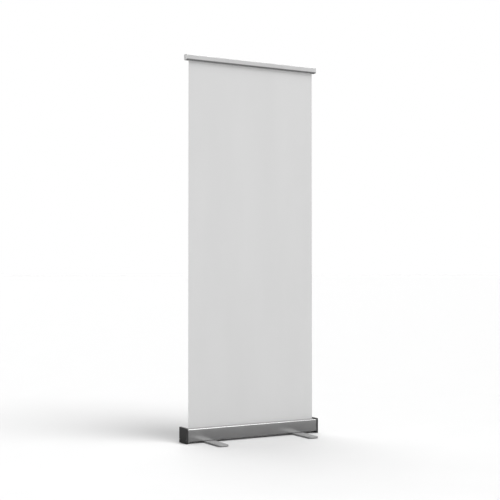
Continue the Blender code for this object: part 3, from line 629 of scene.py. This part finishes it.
def print_film(name, grey_back):
    """Matt coated film: very fine tooth, and faint broad bands in its shade and gloss. With a
    grey back, the points marked as behind take the shades of the light-blocking layer."""
    made, tree, shader = new_finish(name, metallic=0.0, specular=0.35)
    tooth = grain(tree, (5200, 5200, 5200), detail=2.0)
    bands = grain(tree, (5, 5, 0.8), detail=3.0, offset=(2, 5, 1))
    colour = shades(tree, bands, grey(0.535), grey(0.555))
    if grey_back:
        marked = tree.nodes.new("ShaderNodeAttribute")
        marked.attribute_name = "behind"
        block_out = shades(tree, bands, (0.30, 0.30, 0.305), (0.33, 0.33, 0.335))
        colour = blended(tree, marked.outputs["Fac"], colour, block_out)
    tree.links.new(colour, shader.inputs["Base Color"])
    tree.links.new(spread(tree, bands, 0.50, 0.58), shader.inputs["Roughness"])
    tree.links.new(raised(tree, tooth, distance=0.00001, strength=0.3), shader.inputs["Normal"])
    return made


def taut_film(name, low, high, across=81, up=241):
    """Film between two corners, as thick as its box. Towards its edges, with (2x / width)^2, it bows
    back by BOW and ripples by RIPPLE * cos(2 pi z / RIPPLE_LENGTH + 2x). Both fade to nothing, with the
    root of a half sine, where the roll and the clamp hold it. Its rear points are marked as behind."""
    x = np.linspace(low.x, high.x, across)
    z = np.linspace(low.z, high.z, up)[:, None]
    share = (z - low.z) / (high.z - low.z)
    held = np.sin(math.pi * share) ** 0.5
    edge = (2 * x / (high.x - low.x)) ** 2
    shape = held * (BOW * edge + RIPPLE * edge * np.cos(2 * math.pi * z / RIPPLE_LENGTH + 2 * x))
    front = np.stack([x + 0 * z, low.y + shape, z + 0 * x], axis=2)
    back = np.stack([x + 0 * z, high.y + shape, z + 0 * x], axis=2)
    made = skin(name, np.concatenate([front, back[:, ::-1]], axis=1), sharp=50)
    behind = np.zeros((up, 2 * across), np.float32)
    behind[:, across:] = 1
    made.data.attributes.new("behind", "FLOAT", "POINT").data.foreach_set("value", behind.ravel())
    return made


BOW = 0.0006
RIPPLE = 0.0003
RIPPLE_LENGTH = 0.37
FILM = print_film("matt_print_film_grey_back", grey_back=True)
FILM_ON_ROLL = print_film("matt_print_film_wound", grey_back=False)
low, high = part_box("banner")
film = taut_film("banner_film", low, high)
fit(film, "root", "film", FILM, "banner")
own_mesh(film)
ROLL_TURNS = 4
roll_half = (roll_high.x - roll_low.x) / 2
roll = wound_sheet("wound_film", tube_radius + RUNNING_GAP, roll_radius, ROLL_TURNS, roll_half, axle)
fit(roll, "roller", "film", FILM_ON_ROLL, "banner_roll")

# ---- Feet -----------------------------------------------------------------------------
# Flat aluminium bars with rounded ends, each on a bolt through the cassette's floor.
# Rubber pads are stuck under both ends; a washer and a nut inside keep the bolt tight.


def rubber(name):
    """Dull rubber, a little dusty."""
    made, tree, shader = new_finish(name, metallic=0.0, specular=0.3)
    dust = grain(tree, (900, 900, 900))
    tree.links.new(shades(tree, dust, grey(0.018), grey(0.035)), shader.inputs["Base Color"])
    tree.links.new(spread(tree, dust, 0.7, 0.9), shader.inputs["Roughness"])
    tree.links.new(raised(tree, dust, distance=0.00005, strength=0.5), shader.inputs["Normal"])
    return made


FOOT_FINISH = drawn_aluminium("foot_satin_silver", shade=0.31, roughness=0.36, coat=0.2, along="z",
                              metal=0.25)
RUBBER = rubber("black_rubber")
FOOT_FRONT_CORNER = 0.018
FOOT_REAR_CORNER = 0.028
FOOT_EDGE = 0.0022
BOLT_RECESS = 0.0061
BOLT_HEAD = 0.0028
BOLT_SHANK = 0.003
HEXAGON_DEPTH = 0.0016
PAD_EDGE = 0.0004
NUT_EDGE = 0.0005
bolt_bore = BOLT_SHANK + RUNNING_GAP
for label in ("left", "right"):
    body = "foot_" + label
    low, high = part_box("foot_" + label)
    plan = rounded([(low.x, low.y, FOOT_FRONT_CORNER), (high.x, low.y, FOOT_FRONT_CORNER),
                    (high.x, high.y, FOOT_REAR_CORNER), (low.x, high.y, FOOT_REAR_CORNER)], 14)
    foot = slab("foot_bar_" + label, plan, low.z, high.z, FOOT_EDGE)
    bolt_low, bolt_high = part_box("swivel_bolt_" + label)
    bolt_x = (bolt_low.x + bolt_high.x) / 2
    bolt_y = (bolt_low.y + bolt_high.y) / 2
    recess_top = bolt_low.z + BOLT_HEAD + RUNNING_GAP
    recess = circle(bolt_x, bolt_y, BOLT_RECESS)
    hole = circle(bolt_x, bolt_y, bolt_bore)
    fused(foot, carried("head_recess", recess, low.z - OVERCUT, recess_top, "z"), "DIFFERENCE")
    fused(foot, carried("swivel_hole", hole, low.z, high.z + OVERCUT, "z"), "DIFFERENCE")
    fit(foot, body, "feet", FOOT_FINISH, "foot_" + label)
    for end in ("front", "rear"):
        node = "foot_pad_" + label + "_" + end
        low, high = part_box(node)
        corner = 0.45 * (high.y - low.y)
        plan = rounded_oblong(low.x, low.y, high.x, high.y, corner, 10)
        pad = slab("rubber_pad_" + label + "_" + end, plan, low.z, high.z, PAD_EDGE)
        fit(pad, body, "rubber", RUBBER, node)
    length = bolt_high.z - bolt_low.z - BOLT_HEAD
    head_radius = (bolt_high.x - bolt_low.x) / 2
    bolt = headed_screw("swivel_screw_" + label, head_radius, BOLT_HEAD, BOLT_SHANK, length, hexagon_recess,
                        HEXAGON_DEPTH, (bolt_x, bolt_y, bolt_low.z + BOLT_HEAD), -1, "z")
    fit(bolt, "root", "steel", ZINC, "swivel_bolt_" + label)
    low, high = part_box("swivel_washer_" + label)
    washer_radius = (high.x - low.x) / 2
    ring = rounded([(bolt_bore, low.z, 0.0001), (washer_radius, low.z, 0.0003),
                    (washer_radius, high.z, 0.0003), (bolt_bore, high.z, 0.0001)], 3)
    washer = turned("swivel_washer_ring_" + label, ring, (bolt_x, bolt_y, 0), "z", sides=72)
    fit(washer, "root", "steel", ZINC, "swivel_washer_" + label)
    low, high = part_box("swivel_nut_" + label)
    hexagon = circle(bolt_x, bolt_y, (high.x - low.x) / 2, 6)
    nut = slab("swivel_nut_hexagon_" + label, hexagon, low.z, high.z, NUT_EDGE, arc_steps=3)
    fused(nut, carried("nut_bore", hole, low.z - OVERCUT, high.z + OVERCUT, "z"), "DIFFERENCE")
    fit(nut, "root", "steel", ZINC, "swivel_nut_" + label)

# ---- Pole -----------------------------------------------------------------------------
# Three drawn aluminium tubes, one inside the other, with nylon bushes between them. The
# lowest ends in a peg that stands in a cup in the cassette; ribbed collars lock the others.
POLE_WALL = 0.001
POLE_STEP = 0.002
BUSH_WALL = 0.0004
BUSH_FLANGE = 0.0025
COLLAR_GAP = 0.0004
GRIP_DEPTH = 0.0004
GRIP_RIBS = 12
GRIP_MARGIN = 0.0015
POLE_FINISH = drawn_aluminium("pole_satin_aluminium", shade=0.60, roughness=0.32, along="z")
low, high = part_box("pole_lower_tube")
pole = ((low.x + high.x) / 2, (low.y + high.y) / 2, 0)
pole_radius = (high.x - low.x) / 2
sections = (("lower", "root"), ("middle", "pole_middle"), ("upper", "rail"))
for number, (label, body) in enumerate(sections):
    low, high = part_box("pole_" + label + "_tube")
    radius = (high.x - low.x) / 2
    ring = rounded_oblong(radius - POLE_WALL, low.z, radius, high.z, BREAK, 3)
    fit(turned("pole_" + label + "_section", ring, pole, "z"), body, "silver", POLE_FINISH,
        "pole_" + label + "_tube")
    if number > 0:
        node = "pole_" + label + "_glide"
        low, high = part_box(node)
        outer = (high.x - low.x) / 2
        lip = radius - POLE_WALL - RUNNING_GAP
        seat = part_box("pole_" + label + "_tube")[0].z - RUNNING_GAP
        sleeve = rounded([(lip, low.z, 0.0003), (outer, low.z, 0.0003), (outer, high.z, 0.0001),
                          (radius + RUNNING_GAP, high.z, 0.0001), (radius + RUNNING_GAP, seat, 0.0001),
                          (lip, seat, 0.0001)], 3)
        fit(turned(node + "_sleeve", sleeve, pole, "z"), body, "black_plastic", BLACK_PLASTIC, node)

for label, collar_body, body, number in (("lower", "lower_collar", "root", 0),
                                         ("upper", "upper_collar", "pole_middle", 1)):
    low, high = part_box("pole_" + label + "_bush")
    outer = (high.x - low.x) / 2
    bore = outer - POLE_STEP + RUNNING_GAP
    seat = high.z - BUSH_FLANGE + RUNNING_GAP
    skirt = bore + BUSH_WALL
    bush = rounded([(bore, low.z, 0.0001), (skirt, low.z, 0.0001), (skirt, seat, 0.0001),
                    (outer, seat, 0.0002), (outer, high.z, 0.0005), (bore, high.z, 0.0003)], 3)
    fit(turned("pole_" + label + "_bushing", bush, pole, "z"), body, "black_plastic", BLACK_PLASTIC,
        "pole_" + label + "_bush")
    bush_top = high.z
    section_radius = outer
    low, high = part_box(label + "_twist_collar")
    outer = (high.x - low.x) / 2 - GRIP_DEPTH
    bore = section_radius + COLLAR_GAP
    throat = section_radius - POLE_STEP + COLLAR_GAP
    ceiling = bush_top + RUNNING_GAP
    grip_low = low.z + GRIP_MARGIN
    grip_high = high.z - GRIP_MARGIN
    grip = [(outer, height) for height in np.linspace(grip_low, grip_high, 14)]
    collar = [(bore, low.z), (outer - 0.0012, low.z), (outer - 0.0004, low.z + 0.0004), *grip,
              (outer - 0.0004, high.z - 0.0004), (outer - 0.0012, high.z), (throat, high.z),
              (throat, ceiling), (bore, ceiling)]
    made = turned(label + "_collar_grip", collar, pole, "z", sides=240,
                  waves=(GRIP_RIBS, GRIP_DEPTH, grip_low, grip_high))
    fit(made, collar_body, "black_plastic", BLACK_PLASTIC, label + "_twist_collar")

low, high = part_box("pole_socket")
FLANGE = 0.002
SOCKET_WALL = 0.0025
SOCKET_FLOOR = 0.005
flange_radius = (high.x - low.x) / 2
PEG_RADIUS = 0.0065
bore = PEG_RADIUS + RUNNING_GAP
cup_radius = bore + SOCKET_WALL
flange_low = high.z - FLANGE
cup_floor = low.z + SOCKET_FLOOR
cup = rounded([(0.0005, low.z, 0), (cup_radius, low.z, 0.0008), (cup_radius, flange_low, 0.0001),
               (flange_radius, flange_low, 0.0002), (flange_radius, high.z, 0.0007),
               (bore, high.z, 0.0006), (bore, cup_floor, 0.0005), (0.0005, cup_floor, 0)], 4)
fit(turned("pole_cup", cup, pole, "z", closed=False), "root", "black_plastic", BLACK_PLASTIC,
    "pole_socket")
low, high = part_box("pole_plug")
tube_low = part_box("pole_lower_tube")[0].z
spigot = pole_radius - POLE_WALL - RUNNING_GAP
flange_top = tube_low - RUNNING_GAP
flange_low = flange_top - FLANGE
peg = rounded([(0.0005, low.z, 0), (PEG_RADIUS, low.z, 0.001), (PEG_RADIUS, flange_low, 0.0001),
               (pole_radius, flange_low, 0.0004), (pole_radius, flange_top, 0.0004),
               (spigot, flange_top, 0.0001), (spigot, high.z, 0.001), (0.0005, high.z, 0)], 4)
fit(turned("pole_peg", peg, pole, "z", closed=False), "root", "black_plastic", BLACK_PLASTIC, "pole_plug")

low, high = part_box("pole_top_hook")
rail_low, rail_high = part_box("rail_rear")
upper_radius = pole_radius - 2 * POLE_STEP
arm_top = rail_low.z - RUNNING_GAP
arm_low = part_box("pole_upper_tube")[1].z + RUNNING_GAP
TONGUE_GAP = 0.002
TONGUE_ROOT = 0.003
TONGUE_CORNER = 0.001
RAIL_WALL = 0.0016
arm_front = pole[1] - upper_radius
arm_back = pole[1] + upper_radius
plan = rounded([(low.x, low.y, 0.002), (high.x, low.y, 0.002), (high.x, arm_front, 0.004),
                (upper_radius, arm_back, 0.9 * upper_radius), (-upper_radius, arm_back, 0.9 * upper_radius),
                (low.x, arm_front, 0.004)], 10)
hook = slab("rail_hook", plan, arm_low, arm_top, 0.0009)
shank = circle(pole[0], pole[1], upper_radius - POLE_WALL - RUNNING_GAP)
fused(hook, carried("hook_shank", shank, low.z, arm_top - TONGUE_ROOT, "z"), "UNION")
tongue_back = rail_high.y - RAIL_WALL - TONGUE_GAP
tongue = rounded_oblong(low.x + TONGUE_GAP, low.y + TONGUE_GAP, high.x - TONGUE_GAP, tongue_back,
                        TONGUE_CORNER, 6)
fused(hook, slab("hook_tongue", tongue, arm_top - TONGUE_ROOT, high.z, 0.0008), "UNION")
fit(hook, "rail", "black_plastic", BLACK_PLASTIC, "pole_top_hook")

# ---- Top rail -----------------------------------------------------------------------------
# A hollow rear half that hooks onto the pole, and a front jaw whose bead turns in a groove of
# the rear half: both aluminium. A dark grey lip along the jaw's lower front edge is painted
# shade for the shadowed underside of the rail; caps close the ends.
RAIL_FINISH = drawn_aluminium("rail_silver_anodised", shade=0.60, roughness=0.30, coat=0.1, streak=0.03)
RAIL_CORNER = 0.003
HINGE_DROP = 0.0035
BEAD = 0.0017
GROOVE_WALL = 0.0014
NECK = 0.0009
JAW_LIP = 0.006
LIP_EDGE = 0.0004
film_half = (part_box("banner")[1].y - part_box("banner")[0].y) / 2
clamp_back = film_plane + film_half + RUNNING_GAP
clamp_front = film_plane - film_half - RUNNING_GAP
groove = BEAD + RUNNING_GAP
hinge = (film_plane, rail_high.z - HINGE_DROP)


def sweep(centre, radius, start, end, steps):
    """Points on an arc from one angle in degrees to another."""
    t = np.radians(np.linspace(start, end, steps + 1))
    return np.stack([centre[0] + radius * np.cos(t), centre[1] + radius * np.sin(t)], axis=1)


rear = np.concatenate([
    rounded([(clamp_back, rail_low.z, 0.0008), (rail_high.y, rail_low.z, RAIL_CORNER),
             (rail_high.y, rail_high.z, RAIL_CORNER), (film_plane + 0.45 * groove, rail_high.z, 0)], 10),
    sweep(hinge, groove, 65, -140, 30),
    sweep(hinge, groove + GROOVE_WALL, -140, -82, 12)])
rear_half = carried("rail_rear_section", rear, rail_low.x, rail_high.x)
hollow_top = hinge[1] - groove - GROOVE_WALL - RAIL_WALL
inner_corner = RAIL_CORNER - RAIL_WALL
hollow = rounded_oblong(clamp_back + RAIL_WALL, rail_low.z + RAIL_WALL, rail_high.y - RAIL_WALL, hollow_top,
                        inner_corner)
fused(rear_half, carried("rail_hollow", hollow, rail_low.x - 0.01, rail_high.x + 0.01), "DIFFERENCE")
slot_gap = TONGUE_GAP - RUNNING_GAP
hole = rounded_oblong(low.x + slot_gap, low.y + slot_gap, high.x - slot_gap, tongue_back + RUNNING_GAP,
                      TONGUE_CORNER, 6)
fused(rear_half, carried("hook_hole", hole, rail_low.z - 0.002, rail_low.z + 0.005, "z"), "DIFFERENCE")
fit(rear_half, "rail", "rail", RAIL_FINISH, "rail_rear")

low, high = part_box("rail_jaw")
neck_angle = math.degrees(math.asin(NECK / BEAD))
crest = low.y + 2 * RAIL_CORNER
shoulder = film_plane - groove - GROOVE_WALL - 2 * RUNNING_GAP
ceiling = rail_high.z - RAIL_WALL - NECK
jaw = np.concatenate([
    sweep(hinge, BEAD, 180 - neck_angle, -180 + neck_angle, 36),
    rounded([(shoulder, hinge[1] - NECK, 0.0006), (crest, ceiling, inner_corner),
             (low.y + RAIL_WALL, ceiling, inner_corner),
             (low.y + RAIL_WALL, low.z + RAIL_WALL, inner_corner),
             (clamp_front - RAIL_WALL, low.z + RAIL_WALL, LIP_EDGE),
             (clamp_front - RAIL_WALL, low.z + JAW_LIP, LIP_EDGE),
             (clamp_front, low.z + JAW_LIP, LIP_EDGE), (clamp_front, low.z, 0.0008),
             (low.y, low.z, RAIL_CORNER), (low.y, rail_high.z, RAIL_CORNER),
             (crest, rail_high.z, RAIL_CORNER), (shoulder, hinge[1] + NECK, 0.0006)], 10)])
fit(carried("rail_front_jaw", jaw, low.x, high.x), "rail_jaw", "rail", RAIL_FINISH, "rail_jaw")

# The lip's dark grey is painted shade: it stands for the shadow along the rail's lower front edge.
SHADE_LIP_FINISH = moulded_plastic("grey_lip_painted_shade", shade=0.15, roughness=0.55)
LIP_HEIGHT = 0.006
LIP_PROUD = 0.0004
LIP_SUNK = 0.0006
lip = rounded([(low.y - LIP_PROUD, low.z + LIP_HEIGHT, 0.0003),
               (low.y - LIP_PROUD, low.z - LIP_PROUD, RAIL_CORNER + LIP_PROUD),
               (clamp_front - LIP_PROUD, low.z - LIP_PROUD, 0.0003),
               (clamp_front - LIP_PROUD, low.z + LIP_SUNK, 0),
               (low.y + LIP_SUNK, low.z + LIP_SUNK, RAIL_CORNER - LIP_SUNK),
               (low.y + LIP_SUNK, low.z + LIP_HEIGHT, 0)])
fit(carried("jaw_lip_painted_shade", lip, low.x, high.x), "rail_jaw", "rubber", SHADE_LIP_FINISH)

RAIL_CAP = 0.003
for label, side in (("left", -1), ("right", 1)):
    low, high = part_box("rail_cap_" + label)
    outside = side * max(abs(low.x), abs(high.x))
    face = rounded_oblong(low.y, low.z, high.y, high.z, RAIL_CORNER, 10)
    cap = slab("rail_end_" + label, face, *sorted((outside, outside - side * RAIL_CAP)), 0.0008, "x")
    plug = drawn_in(counter_clockwise(hollow), RUNNING_GAP)
    inside = side * min(abs(low.x), abs(high.x))
    fused(cap, carried("rail_plug", plug, *sorted((inside, outside - side * RAIL_CAP / 2))), "UNION")
    fit(cap, "rail", "grey_plastic", GREY_PLASTIC, "rail_cap_" + label)
